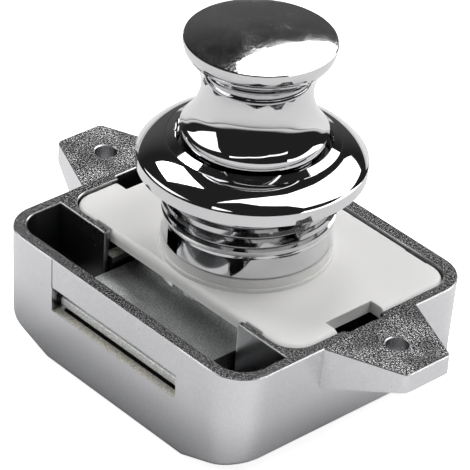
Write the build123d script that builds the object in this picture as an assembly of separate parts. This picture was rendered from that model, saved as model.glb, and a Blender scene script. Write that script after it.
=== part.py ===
from build123d import *
import math
import os

# Push button cabinet lock: a die-cast tray with two screw ears, a white cover plate, a threaded
# barrel with its rosette, and a push-push knob whose slanted blade drives a flat bolt out of the
# front wall. Millimetres. The origin is where the barrel axis meets the tray's open rim, which is
# the face that lies against the back of the door. +Z is up the barrel to the knob, -Y is the way
# the bolt leaves, X runs along the two ears. The lock is drawn unlocked: knob out, bolt in.

# Tray
body_width = 54.0
body_depth = 47.0
body_height = 18.8
body_back = 21.2             # barrel axis to the back face of the tray
corner_radius = 6.0
draft_degrees = 1.7
side_wall = 1.85
front_wall = 2.1
back_wall = 2.3
floor_wall = 1.8
belly_flat_width = 30.6      # flat underside between the two sloped ends
belly_rise = 4.0             # height of the slope at the end walls
edge_round = 1.1
rim_bevel = 0.15
overrun = 3.0                # how far every cutting tool runs past the face that it cuts

# Ears with the screw holes
ear_reach = 12.0             # tray side to ear tip
ear_root_width = 18.5
ear_tip_width = 8.6
ear_root_thickness = 6.9
ear_tip_thickness = 3.1
ear_corner_radius = 1.2
ear_hole_offset = 5.4        # tray side to screw hole centre
ear_hole_diameter = 3.5
ear_pocket_length = 7.4      # shallow pocket in the wall behind each ear
ear_pocket_depth = 0.8
ear_pocket_corner_radius = 0.5

# Bolt window in the front wall
window_width = 27.9
window_top_depth = 5.1
window_height = 4.1
panel_width = 28.2           # the slightly sunk field between window and rim
panel_depth = 0.12

# Partition ribs and what is inside the tray
rib_front = 15.0             # barrel axis to the front face of the ribs
rib_thickness = 1.1
rib_tip = 14.7               # centre plane to each rib's rounded tip
rail_top_depth = 4.5
rail_width = 2.0
rail_length = 23.0           # behind the ribs
shelf_width = 3.0
post_width = 4.4
post_inset = 3.6             # plate edge to post centre
peg_diameter = 2.0
peg_length = 2.4
peg_gap = 0.05

# Cover plate
plate_thickness = 2.0
plate_wall_gap = 0.15
plate_corner_radius = 4.0
plate_edge_round = 1.1
ear_notch_length = 9.1
ear_notch_depth = 2.85
back_notch_length = 4.8
back_notch_depth = 0.8
back_notch_offset = 17.5     # centre plane to the middle of each back notch
rib_notch_length = 3.8
rib_notch_depth = 0.5
collar_radius = 13.2
collar_height = 0.6
neck_radius = 12.9

# Threaded barrel and its nut
barrel_seat_height = 2.03    # rim plane to the foot of the metal barrel
barrel_top_height = 17.8
barrel_plain_radius = 12.6
barrel_plain_height = 3.25
barrel_bore_radius = 11.2
thread_radius = 13.05
thread_pitch = 1.7
thread_depth = 0.7
thread_crest_width = 0.75
barrel_neck_radius = 11.6
barrel_neck_wall = 1.3
neck_gap = 0.1
barrel_neck_step_height = 2.2
spring_seat_depth = 1.1      # rim plane down to the spring's seat
spring_seat_thickness = 1.0
spring_seat_bore_radius = 8.35
barrel_window_width = 3.2
barrel_window_height = 2.9
barrel_window_turn = -104.0
nut_radius = 13.3
nut_thickness = 1.1
nut_slot_width = 2.4
nut_slot_depth = 1.2

# Rosette
rosette_bore_gap = 0.65       # round the knob's foot
rosette_lip_width = 1.3       # cone of the lip, bore to step
rosette_lip_rise = 0.6        # step to the top of the lip
rosette_step_width = 0.1      # flat between the foot of the lip and the dome
rosette_dome_width = 4.1      # in plan, from the step out to the rim
rosette_dome_rise = 2.55      # rim to the step
rosette_rim_height = 2.0
rosette_bottom_height = 14.05
rosette_dome_radius_share = 0.57
rosette_dome_height_share = 0.577
rosette_thread_gap = 0.1
rosette_roof_gap = 0.2

# Knob
knob_radius = 11.22
knob_edge_height = 35.45
knob_crown = 1.35
knob_rim_height = 0.95
knob_waist_radius = 8.25
knob_foot_radius = 10.95
knob_foot_top_height = 20.8
knob_foot_bottom_height = 19.4
knob_skirt_radius = 10.6
knob_bottom_height = 16.5
knob_skirt_wall = 1.2
knob_waist_wall = 1.5
knob_cavity_top_height = 32.2
knob_cavity_shoulder_height = 21.2
knob_cavity_cone_height = 2.6
knob_boss_radius = 3.6
knob_boss_bottom_height = 18.5
# Side profile from foot to rim: share of the way from waist to knob radius, share of height
knob_profile_shares = (
    (0.73, 0.044), (0.582, 0.088), (0.414, 0.146), (0.28, 0.204), (0.167, 0.27), (0.033, 0.38),
    (0.0, 0.474), (0.05, 0.584), (0.2, 0.693), (0.4, 0.774), (0.65, 0.847), (0.893, 0.92),
)

# Push travel and the plunger that hangs from the knob
push_travel = 12.0
bolt_throw = 7.0
guide_disc_thickness = 2.0
guide_gap = 0.1
spigot_height = 1.5
spigot_gap = 0.1
blade_width = 4.0
blade_thickness = 3.2
blade_bottom_depth = 4.6
leg_inner = 4.2              # centre plane to the inner face of the two side legs
leg_thickness = 2.0
leg_back = 5.2
leg_front = 1.0
leg_chin = 2.2               # front of a leg's foot, behind the carriage bar
leg_chin_depth = 3.4
hook_reach = 2.4
hook_height = 2.1
track_width = 1.5
track_depth = 1.0
track_return_offset = 0.6
track_overshoot = 1.4
track_notch_drop = 1.2
stud_radius = 2.5
stud_bottom_height = 14.9
stud_top_height = 29.0
stud_hole_end_gap = 0.4
thread_fit = 0.02
washer_radius = 3.5
washer_split = 0.5

# Return spring round the plunger
return_wire_radius = 0.45
return_coil_radius = 9.6
return_turns = 4

# Carriage behind the bolt
slide_thickness = 5.5
shelf_gap = 0.1
carriage_front = 0.9         # barrel axis to the front face of the bar
carriage_bar_depth = 2.8
carriage_bar_half_width = 13.7
carriage_side_gap = 0.3
carriage_frame_half_width = 3.9
carriage_rear_wall = 1.8
blade_gap = 0.2

# Bolt
bolt_half_width = 13.35
bolt_thickness = 2.95
bolt_set_back = 1.6          # front face of the tray to the nose, knob out
bolt_block_depth = 2.8
bolt_retract = 5.4
bolt_retract_gap = 0.1
nose_flat = 1.2
nose_top_length = 1.5
nose_bottom_length = 0.9
nose_bottom_drop = 0.65

# Guide pins, their springs and clips
pin_offset = 10.4
pin_radius = 1.2
pin_fit = 0.05
pin_press = 0.01
pin_tail = 2.0
pin_point = 0.3
pin_seat_depth = 2.0
coil_pocket_radius = 2.3
coil_pocket_depth = 1.5
bolt_wire_radius = 0.22
bolt_coil_radius = 1.84
bolt_turns = 5
clip_radius = 2.1
clip_thickness = 0.6
clip_gap = 0.1
clip_groove_depth = 0.3
clip_mouth = 1.4

# Latch wire that runs in the plunger's track, its lug, spring plate and screw
latch_y = 3.4
latch_pivot_rise = 1.4       # tray floor to the middle of the wire's leg
latch_tip_depth = 3.4
latch_wire_radius = 0.6
latch_arm_x = 7.1
latch_tip_x = 5.45
latch_leg_end_x = 10.7
latch_bend_radius = 1.2
latch_pivot_gap = 0.05
latch_swing = 2.4            # sideways travel of the tip over the push travel
lug_inner_x = 8.3
lug_front_y = 1.9
lug_back_y = 8.2
lug_height = 2.8
leaf_thickness = 0.3
leaf_finger_gap = 0.25
leaf_finger_width = 1.0
leaf_finger_height = 4.6
keeper_screw_y = 6.2
keeper_screw_radius = 0.8
keeper_screw_length = 2.4
keeper_head_radius = 1.35
keeper_head_height = 0.8
keeper_slot_width = 0.4
keeper_slot_depth = 0.35

# Levels and places that follow from the sizes above
body_front_y = body_back - body_depth
inner_front_y = body_front_y + front_wall
inner_back_y = body_back - back_wall
inner_half_width = body_width / 2 - side_wall
floor_z = floor_wall - body_height
window_bottom_z = -(window_top_depth + window_height)
rib_back_y = rib_thickness - rib_front
plate_front_y = rib_back_y + plate_wall_gap
plate_back_y = inner_back_y - plate_wall_gap
plate_half_width = inner_half_width - plate_wall_gap
plate_bottom_z = -plate_thickness
post_places = [
    (side * (plate_half_width - post_inset), y)
    for side in (-1, 1)
    for y in (plate_front_y + post_inset, plate_back_y - post_inset)
]
spring_seat_z = -spring_seat_depth
neck_bottom_z = plate_bottom_z - nut_thickness
neck_bore_radius = barrel_neck_radius - barrel_neck_wall
disc_bottom_z = knob_bottom_height - guide_disc_thickness
blade_slope = bolt_throw / push_travel
blade_bottom_z = -blade_bottom_depth
blade_middle_z = (disc_bottom_z + blade_bottom_z) / 2
slide_bottom_z = window_bottom_z + shelf_gap + shelf_gap
shelf_top_z = slide_bottom_z - shelf_gap
slide_top_z = slide_bottom_z + slide_thickness
rail_inner_x = carriage_bar_half_width + carriage_side_gap
bar_front_y = -carriage_front
bar_back_y = bar_front_y + carriage_bar_depth
carriage_back_y = (
    blade_slope * (blade_middle_z - slide_bottom_z)
    + blade_thickness / 2 + blade_gap + carriage_rear_wall
)
bolt_nose_y = body_front_y + bolt_set_back
bolt_back_y = bar_front_y - bolt_retract - bolt_retract_gap
bolt_block_y = bolt_back_y - bolt_block_depth
bolt_top_z = slide_bottom_z + bolt_thickness
pin_z = (slide_bottom_z + slide_top_z) / 2
bolt_coil_front_y = bolt_back_y - coil_pocket_depth
bolt_coil_back_y = bar_front_y + coil_pocket_depth
clip_y = bar_back_y + clip_gap
pin_front_y = bolt_back_y - pin_seat_depth
pin_back_y = clip_y + clip_thickness + pin_tail
latch_pivot_z = floor_z + latch_pivot_rise
lug_top_z = floor_z + lug_height
latch_tip_z = -latch_tip_depth
lug_outer_x = rail_inner_x - shelf_width
knob_side_height = knob_edge_height - knob_rim_height - knob_foot_top_height
rosette_bore = knob_foot_radius + rosette_bore_gap
rosette_lip_foot = rosette_bore + rosette_lip_width
rosette_step_radius = rosette_lip_foot + rosette_step_width
rosette_radius = rosette_step_radius + rosette_dome_width
rosette_rim_z = rosette_bottom_height + rosette_rim_height
rosette_step_z = rosette_rim_z + rosette_dome_rise
rosette_lip_z = rosette_step_z + rosette_lip_rise


def block(x0, x1, y0, y1, z0, z1):
    """A box between two corners."""
    return Pos((x0 + x1) / 2, (y0 + y1) / 2, (z0 + z1) / 2) * Box(
        abs(x1 - x0), abs(y1 - y0), abs(z1 - z0)
    )


def rod_z(radius, z0, z1, x=0, y=0):
    """An upright cylinder between two levels."""
    return Pos(x, y, (z0 + z1) / 2) * Cylinder(radius, abs(z1 - z0))


def rod_y(radius, y0, y1, x=0, z=0):
    """A cylinder along Y between two places."""
    return Pos(x, (y0 + y1) / 2, z) * Rot(90, 0, 0) * Cylinder(radius, abs(y1 - y0))


def rod_x(radius, x0, x1, y=0, z=0):
    """A cylinder along X between two places."""
    return Pos((x0 + x1) / 2, y, z) * Rot(0, 90, 0) * Cylinder(radius, abs(x1 - x0))


def prism_along_x(points, x0, x1):
    """A polygon given as (y, z) points, drawn out from x0 to x1."""
    outline = Plane.YZ.offset(x0) * make_face(Polyline(*points, close=True))
    return extrude(outline, amount=x1 - x0)


def prism_along_y(points, y0, y1):
    """A polygon given as (x, z) points, drawn out from y1 to y0."""
    outline = Plane.XZ.offset(-y1) * make_face(Polyline(*points, close=True))
    return extrude(outline, amount=y1 - y0)


def turned(*lines):
    """A body turned about Z from the lines of its half section."""
    return revolve(Plane.XZ * make_face(Wire(lines)), Axis.Z)


def turned_polygon(points):
    """A body turned about Z from a polygon of (radius, z) points."""
    return revolve(Plane.XZ * make_face(Polyline(*points, close=True)), Axis.Z)


def mirrored(shape):
    """A shape together with its copy on the other side of the centre plane."""
    return shape + mirror(shape, Plane.YZ)


def coil(wire_radius, coil_radius, turns, length):
    """A helical spring on +Z from zero: two arcs stand for each half turn of the helix."""
    pitch = (length - 2 * wire_radius) / turns
    rise = pitch / (2 * math.pi)

    def at(angle):
        return Vector(
            coil_radius * math.cos(angle), coil_radius * math.sin(angle), wire_radius + rise * angle
        )

    def heading(angle):
        return Vector(-coil_radius * math.sin(angle), coil_radius * math.cos(angle), rise).normalized()

    arcs = []
    for half in range(2 * turns):
        start, end = half * math.pi, (half + 1) * math.pi
        leave, arrive = heading(start), heading(end)
        chord = at(end) - at(start)
        both = leave + arrive
        spread = 2 * (1 - leave.dot(arrive))
        along = chord.dot(both)
        reach = (math.sqrt(along ** 2 + spread * chord.dot(chord)) - along) / spread
        first = at(start) + leave * reach
        second = at(end) - arrive * reach
        middle = (first + second) / 2
        arcs.append(Edge.make_tangent_arc(at(start), leave, middle))
        arcs.append(Edge.make_tangent_arc(middle, (second - first).normalized(), at(end)))
    gap = pitch * math.cos(math.atan(rise / coil_radius)) - 2 * wire_radius
    print(f"coil gap to itself {gap:.2f} mm")
    section = Plane(origin=at(0), z_dir=heading(0)) * Circle(wire_radius)
    return sweep(section, path=Wire(arcs))


def level_edges(shape, z):
    """The edges of a shape that lie flat at one level."""
    return shape.edges().filter_by(
        lambda e: max(abs(e.bounding_box().min.Z - z), abs(e.bounding_box().max.Z - z)) < rim_bevel / 10
    )


def tray_block(half_width, front_y, back_y, height, radius, belly_inset):
    """The drafted outer or inner body of the tray, with its sloped ends."""
    centre_y = (front_y + back_y) / 2
    outline = Pos(0, centre_y) * RectangleRounded(2 * half_width, back_y - front_y, radius)
    body = extrude(outline, amount=height, dir=(0, 0, -1), taper=draft_degrees)
    flat = belly_flat_width / 2 - belly_inset
    rise = belly_rise * (half_width + overrun - flat) / (body_width / 2 - belly_flat_width / 2)
    wedge = prism_along_y(
        [(flat, -height), (half_width + overrun, rise - height),
         (half_width + overrun, -height - overrun), (flat, -height - overrun)],
        front_y - overrun, back_y + overrun,
    )
    return body - wedge - mirror(wedge, Plane.YZ)


def ear():
    """The right-hand screw ear: a wedge in side view, a trapezium in plan."""
    root_x = body_width / 2 - side_wall
    tip_x = body_width / 2 + ear_reach
    slope = (ear_root_width - ear_tip_width) / ear_reach / 2
    root_half = ear_root_width / 2 + slope * side_wall
    tip_half = ear_tip_width / 2
    plan = make_face(Polyline(
        (root_x, -root_half), (tip_x, -tip_half), (tip_x, tip_half), (root_x, root_half), close=True
    ))
    plan = fillet(plan.vertices().group_by(Axis.X)[-1], ear_corner_radius)
    body = extrude(plan, amount=ear_root_thickness + overrun, dir=(0, 0, -1))
    fall = (ear_root_thickness - ear_tip_thickness) / ear_reach
    under = prism_along_y(
        [(root_x, -ear_root_thickness - fall * side_wall),
         (tip_x + overrun, fall * overrun - ear_tip_thickness),
         (tip_x + overrun, -ear_root_thickness - 2 * overrun),
         (root_x, -ear_root_thickness - 2 * overrun)],
        -ear_root_width, ear_root_width,
    )
    return body - under


def plate_outline(grow):
    """The cover plate's outline, grown all round by a clearance."""
    width = 2 * (plate_half_width + grow)
    depth = plate_back_y - plate_front_y + 2 * grow
    centre_y = (plate_front_y + plate_back_y) / 2
    return Pos(0, centre_y) * RectangleRounded(width, depth, plate_corner_radius + grow)


def rib():
    """The right-hand partition rib with its rounded tip and the fillet round the plate's corner."""
    corner_y = plate_front_y + plate_corner_radius
    wall_x = body_width / 2 - side_wall / 2
    body = block(rib_tip, wall_x, -rib_front, corner_y, floor_z, 0)
    body -= extrude(plate_outline(plate_wall_gap), amount=floor_z)
    tip_edges = body.edges().filter_by(Axis.Z).group_by(Axis.X)[0]
    return fillet(tip_edges, rib_thickness / 2 - rim_bevel)


def guide_rail():
    """The right-hand rail beside the carriage, and the shelf that carries bolt and carriage."""
    inner = lug_outer_x
    outer = rail_inner_x + rail_width
    rail = prism_along_y(
        [(inner, floor_z), (inner, shelf_top_z), (rail_inner_x, shelf_top_z), (rail_inner_x, -rail_top_depth),
         (outer, -rail_top_depth), (outer, floor_z)],
        rib_back_y, rib_back_y + rail_length,
    )
    front = block(inner, rail_inner_x, inner_front_y - front_wall / 2, rib_back_y, floor_z, shelf_top_z)
    return rail + front


def latch_lug():
    """The lug on the tray floor with the open groove that the latch wire's leg turns in."""
    lug = block(lug_inner_x, lug_outer_x, lug_front_y, lug_back_y, floor_z, lug_top_z)
    radius = latch_wire_radius + latch_pivot_gap
    groove_end = latch_leg_end_x + latch_wire_radius / 2
    lug -= rod_x(radius, lug_inner_x - overrun, groove_end, latch_y, latch_pivot_z)
    lug -= block(lug_inner_x - overrun, groove_end, latch_y - radius, latch_y + radius, latch_pivot_z, 0)
    screw_x = (lug_inner_x + lug_outer_x) / 2
    hole_bottom = lug_top_z - keeper_screw_length
    return lug - rod_z(keeper_screw_radius + thread_fit, hole_bottom, 0, screw_x, keeper_screw_y)


def housing():
    """The die-cast tray: walls, floor, ears, ribs, rails, posts and the bolt window."""
    outer = tray_block(body_width / 2, body_front_y, body_back, body_height, corner_radius, 0)
    low_z = belly_rise + rim_bevel - body_height
    outer = fillet(outer.edges().filter_by(lambda e: e.bounding_box().max.Z < low_z), edge_round)
    outer += mirrored(ear())
    inner_slope_inset = floor_wall * belly_rise / (body_width - belly_flat_width)
    pocket = tray_block(
        inner_half_width, inner_front_y, inner_back_y, body_height - floor_wall,
        plate_corner_radius + plate_wall_gap, inner_slope_inset,
    )
    body = outer - pocket
    ear_pocket = block(
        inner_half_width - ear_pocket_depth, inner_half_width + ear_pocket_depth,
        -ear_pocket_length / 2, ear_pocket_length / 2, floor_z + belly_rise, overrun,
    )
    ear_pocket = fillet(ear_pocket.edges().filter_by(Axis.Z), ear_pocket_corner_radius)
    body -= mirrored(ear_pocket)
    inside = mirrored(rib() + guide_rail())
    inside += latch_lug()
    for x, y in post_places:
        post = block(
            x - post_width / 2, x + post_width / 2, y - post_width / 2, y + post_width / 2,
            floor_z, plate_bottom_z,
        )
        inside += post
    solid_tray = tray_block(
        body_width / 2 - side_wall / 2, body_front_y + front_wall / 2, body_back - back_wall / 2,
        body_height - floor_wall / 2, corner_radius - side_wall / 2, inner_slope_inset / 2,
    )
    body += inside & solid_tray
    for x, y in post_places:
        body -= rod_z(peg_diameter / 2 + peg_gap, plate_bottom_z - peg_length - peg_gap, 0, x, y)
    ear_hole_x = body_width / 2 + ear_hole_offset
    for x in (-ear_hole_x, ear_hole_x):
        body -= rod_z(ear_hole_diameter / 2, -body_height, overrun, x)
    body = chamfer(level_edges(body, 0), rim_bevel)
    body -= block(
        -window_width / 2, window_width / 2, body_front_y - overrun, inner_front_y + overrun / 2,
        window_bottom_z, -window_top_depth,
    )
    lean = math.tan(math.radians(draft_degrees))
    panel_low_y = body_front_y + lean * window_top_depth + panel_depth
    body -= prism_along_x(
        [(body_front_y - overrun, overrun), (body_front_y + panel_depth, overrun),
         (body_front_y + panel_depth, 0), (panel_low_y, -window_top_depth),
         (body_front_y - overrun, -window_top_depth)],
        -panel_width / 2, panel_width / 2,
    )
    return body


def cover_plate():
    """The white plate: notched outline, rounded front edge, collar for the barrel, four pegs."""
    plate = extrude(plate_outline(0), amount=plate_bottom_z)
    front_edge = plate.edges().filter_by(Axis.X).group_by(Axis.Y)[0].sort_by(Axis.Z)[-1]
    plate = fillet(front_edge, plate_edge_round)
    side_notch = block(
        plate_half_width - ear_notch_depth, plate_half_width + overrun,
        -ear_notch_length / 2, ear_notch_length / 2, -overrun, overrun,
    )
    back_notch = block(
        back_notch_offset - back_notch_length / 2, back_notch_offset + back_notch_length / 2,
        plate_back_y - back_notch_depth, plate_back_y + overrun, -overrun, overrun,
    )
    rib_notch = block(
        rib_tip + rib_notch_depth / 2, rib_tip + rib_notch_length, plate_front_y - overrun,
        plate_front_y + rib_notch_depth, -overrun, overrun,
    )
    plate -= mirrored(side_notch) + mirrored(back_notch) + mirrored(rib_notch)
    plate = fillet(level_edges(plate, 0), rim_bevel)
    plate += rod_z(collar_radius, plate_bottom_z, collar_height)
    plate += rod_z(neck_radius, plate_bottom_z, barrel_seat_height)
    plate -= rod_z(barrel_neck_radius + neck_gap, -overrun, barrel_seat_height + overrun)
    for x, y in post_places:
        plate += rod_z(peg_diameter / 2, plate_bottom_z - peg_length, plate_bottom_z, x, y)
    return plate


def barrel():
    """The threaded tube: plain foot with two windows, thread, neck and the spring's seat."""
    thread_start = barrel_seat_height + barrel_plain_height
    seat_bottom_z = spring_seat_z - spring_seat_thickness
    root = thread_radius - thread_depth
    flank = (thread_pitch - thread_crest_width) / 3
    ridges = int((barrel_top_height - thread_start) / thread_pitch)
    outer = [(barrel_plain_radius, barrel_seat_height), (barrel_plain_radius, thread_start)]
    for ridge in range(ridges):
        foot = thread_start + ridge * thread_pitch
        outer += [
            (root, foot), (root, foot + flank), (thread_radius, foot + 2 * flank),
            (thread_radius, foot + 2 * flank + thread_crest_width),
        ]
    outer += [(root, thread_start + ridges * thread_pitch), (root, barrel_top_height)]
    inner = [
        (barrel_bore_radius, barrel_top_height), (barrel_bore_radius, barrel_neck_step_height),
        (neck_bore_radius, barrel_neck_step_height), (neck_bore_radius, spring_seat_z),
        (spring_seat_bore_radius, spring_seat_z), (spring_seat_bore_radius, seat_bottom_z),
        (neck_bore_radius, seat_bottom_z), (neck_bore_radius, neck_bottom_z),
        (barrel_neck_radius, neck_bottom_z), (barrel_neck_radius, barrel_seat_height),
    ]
    body = turned_polygon(outer + inner)
    window_z = barrel_seat_height + (barrel_plain_height - barrel_window_height) / 2
    for turn in (barrel_window_turn, barrel_window_turn + 180):
        body -= Rot(0, 0, turn) * block(
            barrel_neck_radius - overrun, thread_radius + overrun,
            -barrel_window_width / 2, barrel_window_width / 2, window_z, window_z + barrel_window_height,
        )
    return body


def barrel_nut():
    """The slotted ring nut that clamps the plate against the barrel's shoulder."""
    nut = rod_z(nut_radius, neck_bottom_z, plate_bottom_z)
    nut -= rod_z(barrel_neck_radius + pin_fit, neck_bottom_z - overrun, plate_bottom_z + overrun)
    for turn in range(0, 360, 90):
        nut -= Rot(0, 0, turn) * block(
            nut_radius - nut_slot_depth, nut_radius + overrun, -nut_slot_width / 2, nut_slot_width / 2,
            neck_bottom_z - overrun, plate_bottom_z + overrun,
        )
    return nut


def rosette():
    """The domed ring that screws on the barrel from the front of the door."""
    thread_bore = thread_radius + rosette_thread_gap
    roof_z = barrel_top_height + rosette_roof_gap
    dome_foot = (rosette_radius - rim_bevel, rosette_rim_z)
    dome_crest = (
        rosette_step_radius + rosette_dome_radius_share * rosette_dome_width,
        rosette_rim_z + rosette_dome_height_share * rosette_dome_rise,
    )
    dome_top = (rosette_step_radius, rosette_step_z)
    lip_foot = (rosette_lip_foot, rosette_step_z)
    lip_top = (rosette_bore, rosette_lip_z)
    rest = Polyline(
        lip_top, (rosette_bore, roof_z), (thread_bore, roof_z), (thread_bore, rosette_bottom_height),
        (rosette_radius, rosette_bottom_height), (rosette_radius, rosette_rim_z - rim_bevel), dome_foot,
    )
    return turned(
        *ThreePointArc(dome_foot, dome_crest, dome_top).edges(),
        *Polyline(dome_top, lip_foot, lip_top).edges(), *rest.edges(),
    )


def knob():
    """The turned knob: crowned head, waist and foot, hollow from below with a screw boss."""
    rim_z = knob_edge_height - knob_rim_height
    span = knob_radius - knob_waist_radius
    side = [
        (knob_waist_radius + r_share * span, knob_foot_top_height + z_share * knob_side_height)
        for r_share, z_share in knob_profile_shares
    ]
    foot = [
        (knob_skirt_radius, knob_bottom_height), (knob_skirt_radius, knob_foot_bottom_height),
        (knob_foot_radius, knob_foot_bottom_height), (knob_foot_radius, knob_foot_top_height),
    ]
    crown_foot = (knob_radius - rim_bevel, knob_edge_height)
    crown_radius = (crown_foot[0] ** 2 + knob_crown ** 2) / (2 * knob_crown)
    half_r = knob_radius / 2
    half_z = knob_edge_height + knob_crown - crown_radius + math.sqrt(crown_radius ** 2 - half_r ** 2)
    axis_z = knob_edge_height + knob_crown
    outline = [
        *Polyline((0, knob_bottom_height), *foot).edges(),
        *Spline(foot[-1], *side, (knob_radius, rim_z)).edges(),
        *Polyline((knob_radius, rim_z), (knob_radius, knob_edge_height - rim_bevel), crown_foot).edges(),
        *ThreePointArc(crown_foot, (half_r, half_z), (0, axis_z)).edges(),
        *Line((0, axis_z), (0, knob_bottom_height)).edges(),
    ]
    body = turned(*outline)
    cavity_radius = knob_skirt_radius - knob_skirt_wall
    waist_radius = knob_waist_radius - knob_waist_wall
    cone_z = knob_cavity_shoulder_height + knob_cavity_cone_height
    cavity = turned_polygon([
        (0, knob_bottom_height - overrun), (cavity_radius, knob_bottom_height - overrun),
        (cavity_radius, knob_cavity_shoulder_height), (waist_radius, cone_z),
        (waist_radius, knob_cavity_top_height), (0, knob_cavity_top_height),
    ])
    cavity -= rod_z(knob_boss_radius, knob_boss_bottom_height, knob_cavity_top_height + overrun)
    body -= cavity
    hole_top = stud_top_height + stud_hole_end_gap
    return body - rod_z(stud_radius + thread_fit, knob_bottom_height, hole_top)


def leg_profile():
    """Side view of a plunger leg: its chin is cut back so that the carriage bar passes."""
    chin_z = -leg_chin_depth
    slant_top = chin_z + (leg_chin + leg_front) / blade_slope
    return [
        (-leg_front, disc_bottom_z), (leg_back, disc_bottom_z), (leg_back, blade_bottom_z),
        (leg_chin, blade_bottom_z), (leg_chin, chin_z), (-leg_front, slant_top),
    ]


def track_groove(points, floor_x, outer_x):
    """A groove of track width along (y, z) points, sunk into the leg's outer face."""
    groove = Part()
    for start, end in zip(points, points[1:]):
        run = math.hypot(end[0] - start[0], end[1] - start[1])
        turn = math.degrees(math.atan2(end[1] - start[1], end[0] - start[0]))
        lane = Box(outer_x - floor_x, run, track_width)
        middle = ((start[0] + end[0]) / 2, (start[1] + end[1]) / 2)
        groove += Pos((floor_x + outer_x) / 2, *middle) * Rot(turn, 0, 0) * lane
    for y, z in points:
        groove += rod_x(track_width / 2, floor_x, outer_x, y, z)
    return groove


def plunger():
    """The moulded plunger: guide disc, slanted blade, latch leg with its track, snap hook leg."""
    disc = rod_z(barrel_bore_radius - guide_gap, disc_bottom_z, knob_bottom_height)
    spigot_radius = knob_skirt_radius - knob_skirt_wall - spigot_gap
    body = disc + rod_z(spigot_radius, knob_bottom_height, knob_bottom_height + spigot_height)

    def blade_y(z):
        return blade_slope * (blade_middle_z - z)

    half = blade_thickness / 2
    body += prism_along_x(
        [(blade_y(disc_bottom_z) - half, disc_bottom_z), (blade_y(disc_bottom_z) + half, disc_bottom_z),
         (blade_y(blade_bottom_z) + half, blade_bottom_z), (blade_y(blade_bottom_z) - half, blade_bottom_z)],
        -blade_width / 2, blade_width / 2,
    )
    leg_outer = leg_inner + leg_thickness
    body += prism_along_x(leg_profile(), leg_inner, leg_outer)
    body += prism_along_x(leg_profile(), -leg_outer, -leg_inner)
    hook_top = blade_bottom_z + hook_height
    hook = prism_along_y(
        [(-leg_outer, blade_bottom_z), (-leg_outer, hook_top), (-leg_outer - hook_reach, hook_top),
         (-leg_outer - hook_reach, hook_top - hook_height / 3)],
        leg_chin, leg_back,
    )
    body += hook
    home = (latch_y, latch_tip_z)
    pushed = (latch_y - latch_swing, latch_tip_z + push_travel)
    turn_back = (latch_y + track_return_offset, pushed[1] + track_overshoot - track_notch_drop)
    notch = ((pushed[0] + turn_back[0]) / 2, pushed[1] + track_overshoot / 2)
    way = [
        home, pushed, (pushed[0], pushed[1] + track_overshoot), notch, turn_back,
        (turn_back[0], home[1] + track_notch_drop), home,
    ]
    body -= track_groove(way, leg_outer - track_depth, leg_outer + overrun)
    return body - rod_z(stud_radius + thread_fit, stud_bottom_height, knob_bottom_height + overrun)


def knob_stud():
    """The steel stud that joins knob and plunger, with a bevel at each end."""
    stud = rod_z(stud_radius, stud_bottom_height, stud_top_height)
    return chamfer(stud.edges().filter_by(GeomType.CIRCLE), washer_split)


def knob_washer():
    """The split washer between the plunger's spigot and the knob's boss."""
    bottom = knob_bottom_height + spigot_height
    ring = rod_z(washer_radius, bottom, knob_boss_bottom_height)
    ring -= rod_z(stud_radius + pin_fit, bottom - overrun, knob_boss_bottom_height + overrun)
    return ring - block(0, washer_radius + overrun, -washer_split / 2, washer_split / 2, 0, knob_edge_height)


def return_spring():
    """The wide coil between the barrel's seat and the guide disc."""
    length = disc_bottom_z - spring_seat_z
    return Pos(0, 0, spring_seat_z) * coil(return_wire_radius, return_coil_radius, return_turns, length)


def carriage():
    """The slide that the blade drives: a cross bar and a frame with the slanted window."""
    body = block(
        -carriage_bar_half_width, carriage_bar_half_width, bar_front_y, bar_back_y,
        slide_bottom_z, slide_top_z,
    )
    body += block(
        -carriage_frame_half_width, carriage_frame_half_width, bar_front_y, carriage_back_y,
        slide_bottom_z, slide_top_z,
    )
    half = blade_thickness / 2 + blade_gap
    low_z, high_z = slide_bottom_z - overrun, slide_top_z + overrun
    low_y = blade_slope * (blade_middle_z - low_z)
    high_y = blade_slope * (blade_middle_z - high_z)
    body -= prism_along_x(
        [(high_y - half, high_z), (high_y + half, high_z), (low_y + half, low_z), (low_y - half, low_z)],
        -blade_width / 2 - blade_gap, blade_width / 2 + blade_gap,
    )
    for side in (-1, 1):
        x = side * pin_offset
        body -= rod_y(pin_radius + pin_fit, bar_front_y - overrun, bar_back_y + overrun, x, pin_z)
        body -= rod_y(coil_pocket_radius, bar_front_y - overrun, bolt_coil_back_y, x, pin_z)
    return body


def bolt():
    """The flat bolt with its rounded nose and the thick block at its rear."""
    nose_top_z = bolt_top_z - (bolt_thickness - nose_flat - nose_bottom_drop)
    profile = [
        (bolt_nose_y, nose_top_z), (bolt_nose_y + nose_top_length, bolt_top_z), (bolt_block_y, bolt_top_z),
        (bolt_block_y, slide_top_z), (bolt_back_y, slide_top_z), (bolt_back_y, slide_bottom_z),
        (bolt_nose_y + nose_bottom_length, slide_bottom_z), (bolt_nose_y, slide_bottom_z + nose_bottom_drop),
    ]
    body = prism_along_x(profile, -bolt_half_width, bolt_half_width)
    nose = body.edges().filter_by(Axis.X).group_by(Axis.Y)[0]
    body = fillet(nose, nose_flat / 3)
    for side in (-1, 1):
        x = side * pin_offset
        body -= rod_y(pin_radius + pin_press, pin_front_y, bolt_back_y + overrun, x, pin_z)
        body -= rod_y(coil_pocket_radius, bolt_coil_front_y, bolt_back_y + overrun, x, pin_z)
    return body


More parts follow.
